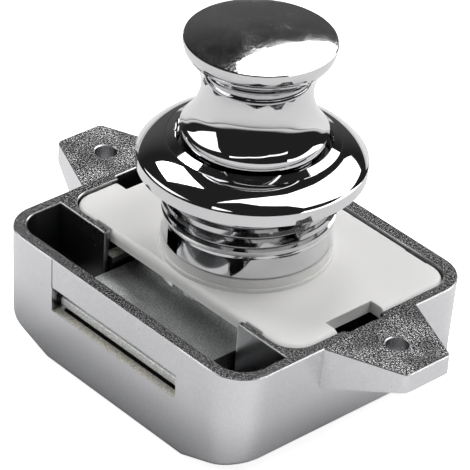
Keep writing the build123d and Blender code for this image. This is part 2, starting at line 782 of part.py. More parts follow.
def guide_pins():
    """The two pins pressed in the bolt's block, grooved for their clips behind the bar."""
    pins = Part()
    for side in (-1, 1):
        x = side * pin_offset
        pin = rod_y(pin_radius, pin_front_y, pin_back_y, x, pin_z)
        pin = chamfer(pin.edges().filter_by(GeomType.CIRCLE).sort_by(Axis.Y)[-1], pin_point)
        groove = rod_y(pin_radius + overrun, clip_y, clip_y + clip_thickness, x, pin_z)
        groove -= rod_y(pin_radius - clip_groove_depth, clip_y, clip_y + clip_thickness, x, pin_z)
        pins += pin - groove
    return pins


def pin_clips():
    """The two open clips in the pins' grooves."""
    clips = Part()
    for side in (-1, 1):
        x = side * pin_offset
        clip = rod_y(clip_radius, clip_y, clip_y + clip_thickness, x, pin_z)
        clip -= rod_y(pin_radius - clip_groove_depth + pin_press, clip_y, clip_y + clip_thickness, x, pin_z)
        clip -= block(
            x - clip_mouth / 2, x + clip_mouth / 2, clip_y, clip_y + clip_thickness,
            pin_z, pin_z + clip_radius,
        )
        clips += clip
    return clips


def bolt_spring(side):
    """The small coil round one guide pin, between the pockets in bolt and bar."""
    length = bolt_coil_back_y - bolt_coil_front_y
    spring = coil(bolt_wire_radius, bolt_coil_radius, bolt_turns, length)
    return Pos(side * pin_offset, bolt_coil_front_y, pin_z) * Rot(-90, 0, 0) * spring


def latch_wire():
    """The bent wire: a leg to turn on, an upright arm, and a tip in the plunger's track."""
    path = FilletPolyline(
        (latch_leg_end_x, latch_y, latch_pivot_z), (latch_arm_x, latch_y, latch_pivot_z),
        (latch_arm_x, latch_y, latch_tip_z), (latch_tip_x, latch_y, latch_tip_z),
        radius=latch_bend_radius,
    )
    section = Plane(origin=path @ 0, z_dir=path % 0) * Circle(latch_wire_radius)
    return sweep(section, path=path)


def wire_leaf():
    """The leaf spring plate on the lug that keeps the wire's leg down and its tip in the track."""
    top = lug_top_z + leaf_thickness
    finger_top = lug_top_z + leaf_finger_height
    finger_x = latch_arm_x + latch_wire_radius + leaf_finger_gap
    plate = block(lug_inner_x, lug_outer_x, lug_front_y, lug_back_y, lug_top_z, top)
    finger = prism_along_y(
        [(lug_inner_x, lug_top_z), (lug_inner_x, top), (finger_x + leaf_thickness, top),
         (finger_x + leaf_thickness, finger_top), (finger_x, finger_top),
         (finger_x, lug_top_z)],
        latch_y - leaf_finger_width / 2, latch_y + leaf_finger_width / 2,
    )
    screw_x = (lug_inner_x + lug_outer_x) / 2
    hole_radius = keeper_screw_radius + pin_fit
    hole = rod_z(hole_radius, lug_top_z - overrun, top + overrun, screw_x, keeper_screw_y)
    return plate + finger - hole


def leaf_screw():
    """The slotted pan head screw that holds the leaf on its lug."""
    screw_x = (lug_inner_x + lug_outer_x) / 2
    under = lug_top_z + leaf_thickness
    head_top = under + keeper_head_height
    bottom = lug_top_z - keeper_screw_length + thread_fit
    head = rod_z(keeper_head_radius, under, head_top, screw_x, keeper_screw_y)
    head = fillet(head.edges().filter_by(GeomType.CIRCLE).sort_by(Axis.Z)[-1], keeper_slot_depth / 2)
    shank = rod_z(keeper_screw_radius, bottom, under, screw_x, keeper_screw_y)
    slot = block(
        screw_x - keeper_head_radius, screw_x + keeper_head_radius,
        keeper_screw_y - keeper_slot_width / 2, keeper_screw_y + keeper_slot_width / 2,
        head_top - keeper_slot_depth, head_top,
    )
    return head + shank - slot


pieces = {
    "housing": housing(),
    "cover_plate": cover_plate(),
    "barrel": barrel(),
    "barrel_nut": barrel_nut(),
    "rosette": rosette(),
    "knob": knob(),
    "plunger": plunger(),
    "knob_stud": knob_stud(),
    "knob_washer": knob_washer(),
    "return_spring": return_spring(),
    "carriage": carriage(),
    "bolt": bolt(),
    "guide_pins": guide_pins(),
    "pin_clips": pin_clips(),
    "bolt_spring_left": bolt_spring(-1),
    "bolt_spring_right": bolt_spring(1),
    "latch_wire": latch_wire(),
    "wire_leaf": wire_leaf(),
    "leaf_screw": leaf_screw(),
}

os.makedirs("parts", exist_ok=True)
for name, shape in pieces.items():
    export_step(shape, f"parts/{name}.step")
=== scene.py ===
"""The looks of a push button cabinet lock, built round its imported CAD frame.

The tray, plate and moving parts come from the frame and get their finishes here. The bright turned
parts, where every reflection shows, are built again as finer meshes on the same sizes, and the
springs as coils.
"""

from __future__ import annotations

import functools
import logging
import math
from dataclasses import dataclass, field
from enum import Enum

import bmesh
import bpy
import numpy as np
from mathutils import Euler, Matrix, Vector

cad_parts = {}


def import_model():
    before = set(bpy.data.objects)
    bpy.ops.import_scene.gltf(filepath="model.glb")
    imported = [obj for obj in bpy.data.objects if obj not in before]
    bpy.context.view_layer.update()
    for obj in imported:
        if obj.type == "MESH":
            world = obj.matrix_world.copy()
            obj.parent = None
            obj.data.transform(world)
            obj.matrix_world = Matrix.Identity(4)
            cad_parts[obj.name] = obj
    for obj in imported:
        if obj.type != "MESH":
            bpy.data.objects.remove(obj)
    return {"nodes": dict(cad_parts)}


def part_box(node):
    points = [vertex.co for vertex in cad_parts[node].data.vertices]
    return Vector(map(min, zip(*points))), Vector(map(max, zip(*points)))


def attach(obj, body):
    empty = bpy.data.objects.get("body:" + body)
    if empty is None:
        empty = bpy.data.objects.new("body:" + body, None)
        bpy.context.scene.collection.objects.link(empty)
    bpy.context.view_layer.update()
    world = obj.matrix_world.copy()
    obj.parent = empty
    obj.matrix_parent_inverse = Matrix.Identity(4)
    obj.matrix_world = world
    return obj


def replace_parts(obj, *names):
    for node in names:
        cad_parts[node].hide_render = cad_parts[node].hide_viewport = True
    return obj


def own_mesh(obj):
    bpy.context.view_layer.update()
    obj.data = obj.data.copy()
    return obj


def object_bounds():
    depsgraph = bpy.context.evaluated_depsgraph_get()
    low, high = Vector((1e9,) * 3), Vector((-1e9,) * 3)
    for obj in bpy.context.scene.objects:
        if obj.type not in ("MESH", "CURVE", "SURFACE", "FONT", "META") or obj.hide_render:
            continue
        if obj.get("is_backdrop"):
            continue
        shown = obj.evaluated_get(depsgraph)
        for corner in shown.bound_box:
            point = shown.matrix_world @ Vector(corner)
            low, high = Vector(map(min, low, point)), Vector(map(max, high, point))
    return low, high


log = logging.getLogger("cabinet_lock")
MM = 0.001
BLACK = (0.0, 0.0, 0.0)
WHITE = (1.0, 1.0, 1.0, 1.0)
SHELTER_SAMPLES = 8
AXIS_RADIUS = 1e-9
WELD_DISTANCE = 1e-7
TURNED_FACETS = 256
ARC_STEPS = 32
SPLINE_STEPS = 8

# Degrees above which an edge stays sharp.
TURNED_CREASE = 12.0
THREAD_CREASE = 35.0
COIL_CREASE = 60.0

# How many layers a noise has, and how strong the finer ones are.
WANDER_NOISE = (3.0, 0.6)
GRAIN_NOISE = (3.0, 0.7)
FLECK_NOISE = (2.0, 0.7)
SPECK_NOISE = (2.0, 0.6)
ROUGH_NOISE = (3.0, 0.75)
PATCH_NOISE = (1.0, 0.5)

# Between these values a noise, a share of open sky or the normal's upward part takes effect.
WANDER_SPAN = (0.25, 0.75)
FLECK_SPAN = (0.4, 0.6)
SPECK_SPAN = (0.46, 0.62)
CLOUD_SPAN = (0.3, 0.7)
FLAKE_SPAN = (0.46, 0.6)
PATCH_SPAN = (0.35, 0.65)
CREVICE_SPAN = (0.55, 0.82)
CORNER_SPAN = (0.15, 0.85)
UNDER_SHADE_SPAN = (-0.99, -0.9)
CROWN_SPAN = (0.9, 0.97)

Point = tuple[float, float]
Profile = list[Point]
Colour = tuple[float, float, float]
Socket = bpy.types.NodeSocket
Node = bpy.types.Node
Material = bpy.types.Material
Object = bpy.types.Object


class Ray(Enum):
    """The rays that a part of the studio is made for."""

    CAMERA = "Is Camera Ray"
    GLOSSY = "Is Glossy Ray"
    TRANSMISSION = "Is Transmission Ray"


class Kind(Enum):
    """What a mix node mixes: its data type, and the type of the sockets that carry it."""

    COLOUR = ("RGBA", "RGBA")
    NUMBER = ("FLOAT", "VALUE")
    VECTOR = ("VECTOR", "VECTOR")


class Graph:
    """A typed wrapper round a shader node tree.

    Args:
        tree: the node tree that nodes are added to.
    """

    def __init__(self, tree: bpy.types.NodeTree) -> None:
        """Keeps the tree."""
        self.tree = tree

    def node(self, kind: str, **values: object) -> Node:
        """Adds a node and sets its properties.

        Args:
            kind: the node's type name without its ShaderNode start.
            values: property names and values.

        Returns:
            The new node.
        """
        node = self.tree.nodes.new("ShaderNode" + kind)
        for name, value in values.items():
            setattr(node, name, value)
        return node

    def feed(self, socket: Socket, value: object) -> None:
        """Links a socket to another, or sets its value.

        Args:
            socket: the input socket.
            value: an output socket, a number or a tuple.
        """
        if isinstance(value, bpy.types.NodeSocket):
            self.tree.links.new(value, socket)
        else:
            socket.default_value = value

    def math(self, operation: str, *values: object) -> Socket:
        """Adds a math node over sockets or numbers.

        Args:
            operation: the math node's operation.
            values: one or two sockets or numbers.

        Returns:
            The result socket.
        """
        node = self.node("Math", operation=operation)
        for socket, value in zip(node.inputs, values):
            self.feed(socket, value)
        return node.outputs[0]

    def product(self, *values: object) -> Socket:
        """Multiplies two or more sockets or numbers, from left to right."""
        return functools.reduce(lambda first, second: self.math("MULTIPLY", first, second), values)

    def above(self, value: Socket, least: float) -> Socket:
        """Gives 1 where a value is above a number, and 0 elsewhere."""
        return self.math("GREATER_THAN", value, least)

    def below(self, value: Socket, most: float) -> Socket:
        """Gives 1 where a value is below a number, and 0 elsewhere."""
        return self.math("LESS_THAN", value, most)

    def split(self, vector: Socket) -> dict[str, Socket]:
        """Splits a vector.

        Args:
            vector: the socket to split.

        Returns:
            The three sockets by the names X, Y and Z.
        """
        node = self.node("SeparateXYZ")
        self.feed(node.inputs[0], vector)
        return {socket.name: socket for socket in node.outputs}

    def remap(
        self, value: Socket, low: float, high: float, to_low: float = 0.0, to_high: float = 1.0
    ) -> Socket:
        """Maps a value smoothly from one range to another.

        Args:
            value: the socket to map.
            low: the value that gives to_low.
            high: the value that gives to_high.
            to_low: the result at and below low.
            to_high: the result at and above high.

        Returns:
            The mapped socket.
        """
        node = self.node("MapRange", interpolation_type="SMOOTHSTEP")
        names = ("From Min", "From Max", "To Min", "To Max")
        for name, number in zip(names, (low, high, to_low, to_high)):
            node.inputs[name].default_value = number
        self.feed(node.inputs["Value"], value)
        return node.outputs["Result"]

    def noise(self, place: Socket, grain: float, layers: float = 2.0, rough: float = 0.5) -> Socket:
        """Adds a noise texture of a given grain.

        Args:
            place: the coordinates to read.
            grain: the size of one patch, in metres.
            layers: how many finer layers the noise has.
            rough: how strong the finer layers are.

        Returns:
            The noise's factor socket.
        """
        node = self.node("TexNoise")
        self.feed(node.inputs["Vector"], place)
        node.inputs["Scale"].default_value = 1.0 / grain
        node.inputs["Detail"].default_value = layers
        node.inputs["Roughness"].default_value = rough
        return node.outputs["Fac"]

    def mix(self, factor: object, first: object, second: object, kind: Kind = Kind.COLOUR) -> Socket:
        """Mixes two colours, numbers or vectors.

        Args:
            factor: 0 gives the first and 1 the second.
            first: a socket, a number or a colour.
            second: a socket, a number or a colour.
            kind: what they are.

        Returns:
            The mixed socket.
        """
        data_type, carried = kind.value
        node = self.node("Mix", data_type=data_type)
        self.feed(node.inputs[0], factor)
        sockets = [s for s in node.inputs if s.type == carried and s.name in ("A", "B")]
        for socket, value in zip(sockets, (first, second)):
            self.feed(socket, (*value, 1.0) if isinstance(value, tuple) else value)
        return next(s for s in node.outputs if s.type == carried)

    def shelter(self, reach: float, span: tuple[float, float], least: float) -> Socket:
        """Tells how open a place is, for the shade in corners and gaps.

        Args:
            reach: how far away a shape still shelters it, in metres.
            span: open shares between which the shade fades out.
            least: the result in a closed corner, where 1 is the open.

        Returns:
            The result socket.
        """
        node = self.node("AmbientOcclusion", samples=SHELTER_SAMPLES)
        node.inputs["Distance"].default_value = reach
        return self.remap(node.outputs["AO"], *span, least, 1.0)

    def bump(self, height: Socket, depth: float) -> Node:
        """Adds a bump node.

        Args:
            height: the height as a share of the depth.
            depth: how deep the bump is, in metres.

        Returns:
            The node.
        """
        node = self.node("Bump")
        node.inputs["Strength"].default_value = 1.0
        node.inputs["Distance"].default_value = depth
        self.feed(node.inputs["Height"], height)
        return node


def scaled(colour: Colour, share: float) -> Colour:
    """The colour at a share of its brightness."""
    return tuple(part * share for part in colour)


@dataclass(frozen=True)
class Finish:
    """A finish of the lock: its colour, gloss and the fine detail on its surface. Lengths are in metres.

    Args:
        name: the material's name.
        colour: linear colour.
        metallic: 1 for metal, 0 for plastic.
        roughness: mean roughness.
        roughness_spread: how far the roughness wanders.
        patch: size of the wandering patches.
        grain: size of the surface grain.
        grain_height: height of the grain.
        shade: how much darker the patches go, as a share of the colour.
        under: share of the colour that painted shade leaves on faces that look straight down.
        fleck: how much darker the grain's low spots are, as a share of the colour.
        crevice: reach of the shade in a narrow gap, 0 for none.
        crevice_share: share of the colour that is left there.
    """

    name: str
    colour: Colour
    metallic: float = 1.0
    roughness: float = 0.2
    roughness_spread: float = 0.05
    patch: float = 0.006
    grain: float = 0.0002
    grain_height: float = 0.0
    shade: float = 0.08
    under: float = 1.0
    fleck: float = 0.0
    crevice: float = 0.0
    crevice_share: float = 0.05

    def dress(self, graph: Graph, shader: Node, place: Socket, normal: Socket) -> None:
        """Adds what a finish has beyond the common detail; the plain finish adds nothing."""

    def build(self) -> Material:
        """Makes the material.

        Returns:
            The new material.
        """
        material = bpy.data.materials.new(self.name)
        material.use_nodes = True
        graph = Graph(material.node_tree)
        shader = material.node_tree.nodes["Principled BSDF"]
        shader.inputs["Metallic"].default_value = self.metallic
        place = graph.node("TexCoord").outputs["Object"]
        normal = graph.node("NewGeometry").outputs["Normal"]
        wander = graph.noise(place, self.patch, *WANDER_NOISE)
        colour = graph.mix(wander, scaled(self.colour, 1.0 - self.shade), self.colour)
        # Painted shade: faces that look straight down are darkened.
        if self.under < 1.0:
            down = graph.remap(graph.split(normal)["Z"], *UNDER_SHADE_SPAN, 1.0, 0.0)
            colour = graph.mix(down, colour, scaled(self.colour, self.under))
        if self.fleck:
            spots = graph.noise(place, self.grain, *FLECK_NOISE)
            colour = graph.mix(graph.remap(spots, *FLECK_SPAN, 1.0 - self.fleck, 1.0), BLACK, colour)
        # Painted shade: the colour darkens in narrow gaps.
        if self.crevice:
            shelter = graph.shelter(self.crevice, CREVICE_SPAN, self.crevice_share)
            colour = graph.mix(shelter, BLACK, colour)
        graph.feed(shader.inputs["Base Color"], colour)
        least, most = self.roughness - self.roughness_spread, self.roughness + self.roughness_spread
        graph.feed(shader.inputs["Roughness"], graph.remap(wander, *WANDER_SPAN, least, most))
        if self.grain_height:
            bump = graph.bump(graph.noise(place, self.grain, *GRAIN_NOISE), self.grain_height)
            graph.feed(shader.inputs["Normal"], bump.outputs["Normal"])
        self.dress(graph, shader, place, normal)
        return material


@dataclass(frozen=True)
class CrownFinish(Finish):
    """Bright chrome with fine specks of haze on the faces that look up, as a handled knob has.

    Args:
        haze: roughness of the specks.
        speck: size of a speck in metres.
        cloud_least: share of the haze where it is thinnest.
    """

    haze: float = 0.2
    speck: float = 0.0002
    cloud_least: float = 0.4

    def dress(self, graph: Graph, shader: Node, place: Socket, normal: Socket) -> None:
        """Adds the specks to the roughness.

        Args:
            graph: the material's graph.
            shader: its principled shader.
            place: object coordinates in metres.
            normal: the surface normal.
        """
        upward = graph.remap(graph.split(normal)["Z"], *CROWN_SPAN)
        cloud = graph.remap(graph.noise(place, self.patch), *CLOUD_SPAN, self.cloud_least, 1.0)
        specks = graph.remap(graph.noise(place, self.speck, *SPECK_NOISE), *SPECK_SPAN)
        bare = shader.inputs["Roughness"].links[0].from_socket
        haze = graph.product(specks, cloud, upward, self.haze)
        graph.feed(shader.inputs["Roughness"], graph.math("ADD", bare, haze))


@dataclass(frozen=True)
class CastFinish(Finish):
    """Chrome on a zinc casting: satin outside, rough and dark on its top, with painted shade inside the tray,
    in its corners and towards the floor, and painted light on the bolt window's sill and the rails' tops.
    Lengths are in metres.

    Args:
        rough_colour: linear colour of the rough top's bright grains.
        dark_share: share of it that the dark grains keep.
        rim_share: share of it that the rim has, against the ears.
        rough_roughness: roughness of the top.
        rough_grain: size of its grain.
        rough_height: height of its grain.
        rough_patch: size of its lighter and darker patches on the ears.
        patch_least: share of the colour in the darkest patch.
        top_depth: depth below the rim plane where the rough top ends.
        top_up: least upward part of the normal there.
        ear_x: where the ears begin, from the middle.
        inside: middle of the tray's side wall, front wall and back wall, and their corner radius.
        inner_share: share of the colour that the painted shade leaves inside the tray.
        inner_top: depth below the rim plane where the inside begins.
        base_z: heights between which painted shade darkens the outside towards the floor.
        base_share: share of the colour that is left at the lower one.
        ledge_depth: depth down to which a level face inside the tray is left out of the painted shade.
        ledge_up: least upward part of the normal there.
        sill_y: y up to which the bolt window's sill lies.
        sill_low: height above which the sill lies.
        rail_low: height above which the guide rails' tops lie.
        sill_high: height below which both lie.
        sill_colour: linear colour of the painted light there, a pale cream where these faces catch the light.
        crumb_share: share of it that its dark crumbs keep.
        corner_reach: reach of the shade in a corner.
        corner_share: share of the colour that the painted shade leaves in a tight corner.
    """

    rough_colour: Colour = (0.88, 0.88, 0.89)
    dark_share: float = 0.04
    rim_share: float = 0.48
    rough_roughness: float = 0.2
    rough_grain: float = 0.00029
    rough_height: float = 0.0003
    rough_patch: float = 0.006
    patch_least: float = 0.45
    top_depth: float = 0.0004
    top_up: float = 0.97
    ear_x: float = 0.0268
    inside: tuple[float, float, float, float] = (0.0263, -0.0251, 0.0203, 0.0055)
    inner_share: float = 0.5
    inner_top: float = 0.00006
    base_z: tuple[float, float] = (-0.0188, -0.0070)
    base_share: float = 0.5
    ledge_depth: float = 0.0125
    ledge_up: float = 0.9
    sill_y: float = -0.0241
    sill_low: float = -0.0096
    rail_low: float = -0.0050
    sill_high: float = -0.0040
    sill_colour: Colour = (0.9, 0.87, 0.78)
    crumb_share: float = 0.6
    corner_reach: float = 0.004
    corner_share: float = 0.45

    def sides(self, graph: Graph, colour: Socket, axes: dict[str, Socket], ledge: Socket) -> Socket:
        """The satin plating's colour with painted shade: darker in corners, towards the floor and inside the
        tray.

        Args:
            graph: the material's graph.
            colour: the plating's own colour.
            axes: the object coordinates.
            ledge: the level faces that the painted shade inside the tray leaves out.

        Returns:
            The colour's socket.
        """
        # Painted shade in corners and towards the floor.
        shelter = graph.shelter(self.corner_reach, CORNER_SPAN, self.corner_share)
        floor_shade = graph.remap(axes["Z"], *self.base_z, self.base_share, 1.0)
        outside = graph.mix(graph.product(shelter, floor_shade), BLACK, colour)
        # Painted shade inside the tray, apart from its level faces.
        side, front, back, radius = self.inside
        across = graph.math("SUBTRACT", graph.math("ABSOLUTE", axes["X"]), side - radius)
        along = graph.math("ABSOLUTE", graph.math("SUBTRACT", axes["Y"], (front + back) / 2))
        along = graph.math("SUBTRACT", along, (back - front) / 2 - radius)
        reaches = [graph.math("MAXIMUM", reach, 0.0) for reach in (across, along)]
        squares = [graph.math("POWER", reach, 2.0) for reach in reaches]
        within = graph.below(graph.math("ADD", *squares), radius ** 2)
        inner = graph.product(within, graph.below(axes["Z"], -self.inner_top))
        shade = graph.product(graph.math("SUBTRACT", 1.0, ledge), 1.0 - self.inner_share)
        return graph.mix(graph.product(inner, shade), outside, BLACK)

    def dress(self, graph: Graph, shader: Node, place: Socket, normal: Socket) -> None:
        """Gives the rim and the ears their rough top, paints shade on the sides and inside, and paints light
        on the sill and the rails' tops.

        Args:
            graph: the material's graph.
            shader: its principled shader.
            place: object coordinates in metres.
            normal: the surface normal.
        """
        axes = graph.split(place)
        face_normal = graph.node("NewGeometry").outputs["True Normal"]
        up = graph.split(face_normal)["Z"]
        top = graph.product(graph.above(up, self.top_up), graph.above(axes["Z"], -self.top_depth))
        ledge = graph.product(graph.above(up, self.ledge_up), graph.above(axes["Z"], -self.ledge_depth))
        names = ("Base Color", "Roughness", "Normal")
        plain = {name: shader.inputs[name].links[0].from_socket for name in names}
        speckle = graph.noise(place, self.rough_grain, *ROUGH_NOISE)
        # Bright grains on dark ones: patchy on the ears, duller on the rim.
        dark = scaled(self.rough_colour, self.dark_share)
        flake = graph.mix(graph.remap(speckle, *FLAKE_SPAN), dark, self.rough_colour)
        ear = graph.above(graph.math("ABSOLUTE", axes["X"]), self.ear_x)
        cloud = graph.noise(place, self.rough_patch, *PATCH_NOISE)
        patches = graph.remap(cloud, *PATCH_SPAN, self.patch_least, 1.0)
        share = graph.math("MAXIMUM", graph.product(ear, patches), self.rim_share)
        rough = graph.mix(share, BLACK, flake)
        # Painted light: the bolt window's sill and the rails' tops get a pale colour that is not metallic, as
        # where they catch the light.
        window = graph.product(graph.below(axes["Y"], self.sill_y), graph.above(axes["Z"], self.sill_low))
        either = graph.math("MAXIMUM", window, graph.above(axes["Z"], self.rail_low))
        bare = graph.product(either, ledge, graph.below(axes["Z"], self.sill_high))
        dark_crumb = scaled(self.sill_colour, self.crumb_share)
        crumbs = graph.mix(graph.remap(speckle, *FLECK_SPAN), dark_crumb, self.sill_colour)
        satin = graph.mix(bare, self.sides(graph, plain["Base Color"], axes, ledge), crumbs)
        graph.feed(shader.inputs["Base Color"], graph.mix(top, satin, rough))
        graph.feed(shader.inputs["Metallic"], graph.math("SUBTRACT", 1.0, bare))
        roughness = graph.mix(top, plain["Roughness"], self.rough_roughness, Kind.NUMBER)
        graph.feed(shader.inputs["Roughness"], roughness)
        bump = graph.bump(graph.product(speckle, top), self.rough_height)
        graph.feed(bump.inputs["Normal"], graph.mix(top, plain["Normal"], face_normal, Kind.VECTOR))
        graph.feed(shader.inputs["Normal"], bump.outputs["Normal"])


def direction(azimuth: float, elevation: float) -> Vector:
    """The unit vector of a direction round the lock.

    Args:
        azimuth: degrees from the front, where the bolt leaves, towards +X.
        elevation: degrees above the horizon.

    Returns:
        The unit vector.
    """
    a, e = math.radians(azimuth), math.radians(elevation)
    return Vector((math.cos(e) * math.sin(a), -math.cos(e) * math.cos(a), math.sin(e)))


def add_object(name: str, data: bpy.types.ID) -> Object:
    """Adds an object to the scene.

    Args:
        name: its name.
        data: its mesh or camera.

    Returns:
        The new object.
    """
    made = bpy.data.objects.new(name, data)
    bpy.context.scene.collection.objects.link(made)
    return made


@dataclass(frozen=True)
class Softbox:
    """A flat white panel of light, which lights the lock and shows in the chrome.

    Args:
        name: the panel's name.
        corners: azimuth and elevation of each corner, in degrees.
        level: brightness, 1 being paper white.
        distance: metres from the lock to the panel's middle.
    """

    name: str
    corners: tuple[Point, ...]
    level: float
    distance: float = 1.0

    def place(self) -> None:
        """Adds the panel, facing the lock and unseen by the camera itself."""
        rays = [direction(*corner) for corner in self.corners]
        middle = sum(rays, Vector()).normalized()
        points = [ray * (self.distance / ray.dot(middle)) for ray in rays]
        mesh = bpy.data.meshes.new(self.name)
        mesh.from_pydata(points, [], [tuple(range(len(points)))])
        material = bpy.data.materials.new(self.name)
        material.use_nodes = True
        graph = Graph(material.node_tree)
        glow = graph.node("Emission")
        glow.inputs["Strength"].default_value = self.level
        graph.feed(material.node_tree.nodes["Material Output"].inputs["Surface"], glow.outputs[0])
        mesh.materials.append(material)
        panel = add_object(self.name, mesh)
        panel.visible_camera = False
        panel.visible_shadow = False
        panel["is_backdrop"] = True


@dataclass
class Studio:
    """Camera, floor, dark room with a bright horizon, and the softboxes.

    Args:
        azimuth: degrees round the lock from looking along +Y.
        elevation: degrees above the horizon.
        roll: degrees that the camera turns about its own axis.
        distance: metres from the target.
        target: the point looked at.
        lens: focal length in millimetres.
        sensor: width of the sensor in millimetres.
        clip: nearest and furthest metres that the camera sees.
        floor_gap: from the lock's lowest face to the floor.
        floor_width: side of the square floor.
        floor_grey: its colour in each channel.
        floor_glow: light that the camera sees on it beyond the lamps'.
        dark_level: brightness of the dark room.
        horizon_level: brightness of the horizon.
        horizon_top: height at which the horizon has faded, as the sine of the elevation.
        backdrop_glow: azimuth and elevation of the glow on the backdrop.
        backdrop_level: the glow's brightness in the metal.
        backdrop_edge: cosine of the angle at which the glow ends.
        softboxes: the lamps.
    """

    azimuth: float = 45.97
    elevation: float = 33.13
    roll: float = 4.05
    distance: float = 0.4975
    target: tuple[float, float, float] = (-0.00085, -0.00158, 0.0017)
    lens: float = 256.97
    sensor: float = 36.0
    clip: tuple[float, float] = (0.01, 20.0)
    floor_gap: float = 0.0001
    floor_width: float = 3.0
    floor_grey: float = 0.82
    floor_glow: float = 0.9
    dark_level: float = 0.02
    horizon_level: float = 0.8
    horizon_top: float = 0.05
    backdrop_glow: tuple[float, float] = (-125.0, 2.0)
    backdrop_level: float = 0.09
    backdrop_edge: float = 0.72
    softboxes: tuple[Softbox, ...] = (
        Softbox(
            "right_softbox",
            (
                (3.0, 57.0), (29.0, 69.5), (65.0, 65.5), (98.0, 57.0), (108.0, 44.0), (150.0, 22.0),
                (179.0, 12.0), (-167.0, 24.0), (-165.0, 32.5), (-172.0, 43.0), (175.0, 56.0), (146.0, 72.0),
            ),
            2.8,
        ),
        Softbox(
            "front_strip",
            (
                (5.0, 48.0), (40.0, 46.0), (75.0, 40.0), (105.0, 33.0),
                (105.0, 30.5), (75.0, 37.5), (40.0, 43.5), (5.0, 45.5),
            ),
            2.0,
        ),
        Softbox(
            "back_softbox",
            (
                (-125.0, 53.0), (-134.0, 46.5), (-150.0, 29.5),
                (-154.0, 31.0), (-156.0, 60.0), (-124.0, 62.0),
            ),
            6.0,
        ),
        Softbox(
            "left_softbox",
            ((-80.0, 31.0), (-100.0, 51.0), (-80.0, 60.0), (-47.0, 66.0), (-54.0, 38.0)),
            5.5,
        ),
        Softbox("low_left_softbox", ((-75.0, 13.0), (-23.0, 11.0), (-8.0, 40.0), (-44.0, 32.0)), 2.0),
    )

    def camera(self) -> None:
        """Adds the camera at the photograph's viewpoint."""
        back = direction(self.azimuth, self.elevation)
        data = bpy.data.cameras.new("view_camera")
        data.lens = self.lens
        data.sensor_width = self.sensor
        data.clip_start, data.clip_end = self.clip
        camera = add_object("view_camera", data)
        roll = Euler((0, 0, math.radians(self.roll))).to_quaternion()
        camera.rotation_mode = "QUATERNION"
        camera.rotation_quaternion = (-back).to_track_quat("-Z", "Y") @ roll
        camera.location = Vector(self.target) + back * self.distance
        bpy.context.scene.camera = camera

    def floor(self, low_z: float) -> None:
        """Adds the pale floor, white to the camera apart from the lock's soft shadow.

        Args:
            low_z: the lock's lowest level.
        """
        half = self.floor_width / 2
        corners = [(-half, -half, 0), (half, -half, 0), (half, half, 0), (-half, half, 0)]
        mesh = bpy.data.meshes.new("floor")
        mesh.from_pydata(corners, [], [(0, 1, 2, 3)])
        floor = add_object("floor", mesh)
        floor.location.z = low_z - self.floor_gap
        material = bpy.data.materials.new("pale_floor")
        material.use_nodes = True
        graph = Graph(material.node_tree)
        shader = material.node_tree.nodes["Principled BSDF"]
        shader.inputs["Base Color"].default_value = (self.floor_grey, self.floor_grey, self.floor_grey, 1.0)
        shader.inputs["Roughness"].default_value = 1.0
        shader.inputs["Specular IOR Level"].default_value = 0.0
        shader.inputs["Emission Color"].default_value = WHITE
        seen = graph.node("LightPath").outputs[Ray.CAMERA.value]
        graph.feed(shader.inputs["Emission Strength"], graph.product(seen, self.floor_glow))
        mesh.materials.append(material)
        floor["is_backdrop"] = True

    def room(self) -> None:
        """Builds the world: white to the camera, and dark with a bright horizon to the metal."""
        world = bpy.data.worlds.new("studio")
        bpy.context.scene.world = world
        world.use_nodes = True
        graph = Graph(world.node_tree)
        background = world.node_tree.nodes["Background"]
        ray = graph.node("TexCoord").outputs["Generated"]
        height = graph.split(ray)["Z"]
        horizon = graph.remap(height, 0.0, self.horizon_top, self.horizon_level, self.dark_level)
        facing = graph.node("VectorMath", operation="DOT_PRODUCT")
        for socket, value in zip(facing.inputs, (ray, tuple(direction(*self.backdrop_glow)))):
            graph.feed(socket, value)
        backdrop = graph.remap(
            facing.outputs["Value"], self.backdrop_edge, 1.0, 0.0, self.backdrop_level
        )
        rays = graph.node("LightPath").outputs
        mirrored = graph.math("MAXIMUM", rays[Ray.GLOSSY.value], rays[Ray.TRANSMISSION.value])
        glow = graph.math("ADD", horizon, graph.product(mirrored, backdrop))
        background.inputs["Color"].default_value = WHITE
        graph.feed(background.inputs["Strength"], graph.math("MAXIMUM", glow, rays[Ray.CAMERA.value]))

    def build(self, low_z: float) -> None:
        """Builds camera, floor, room and lamps.

        Args:
            low_z: the lock's lowest level.
        """
        self.camera()
        self.floor(low_z)
        self.room()
        for softbox in self.softboxes:
            softbox.place()
        log.info("studio with %d softboxes", len(self.softboxes))


def arc(first: Point, middle: Point, last: Point) -> Profile:
    """Points of the arc through three points, without the first.

    Args:
        first: where the arc starts, as radius and height.
        middle: a point on the way.
        last: where it ends.

    Returns:
        The arc's points.
    """
    (x1, y1), (x2, y2), (x3, y3) = first, middle, last
    d = 2 * (x1 * (y2 - y3) + x2 * (y3 - y1) + x3 * (y1 - y2))
    s1, s2, s3 = x1 * x1 + y1 * y1, x2 * x2 + y2 * y2, x3 * x3 + y3 * y3
    cx = (s1 * (y2 - y3) + s2 * (y3 - y1) + s3 * (y1 - y2)) / d
    cy = (s1 * (x3 - x2) + s2 * (x1 - x3) + s3 * (x2 - x1)) / d
    radius = math.hypot(x1 - cx, y1 - cy)
    start, end = math.atan2(y1 - cy, x1 - cx), math.atan2(y3 - cy, x3 - cx)
    turn = (end - start + math.pi) % math.tau - math.pi
    angles = (start + turn * step / ARC_STEPS for step in range(1, ARC_STEPS + 1))
    return [(cx + radius * math.cos(t), cy + radius * math.sin(t)) for t in angles]


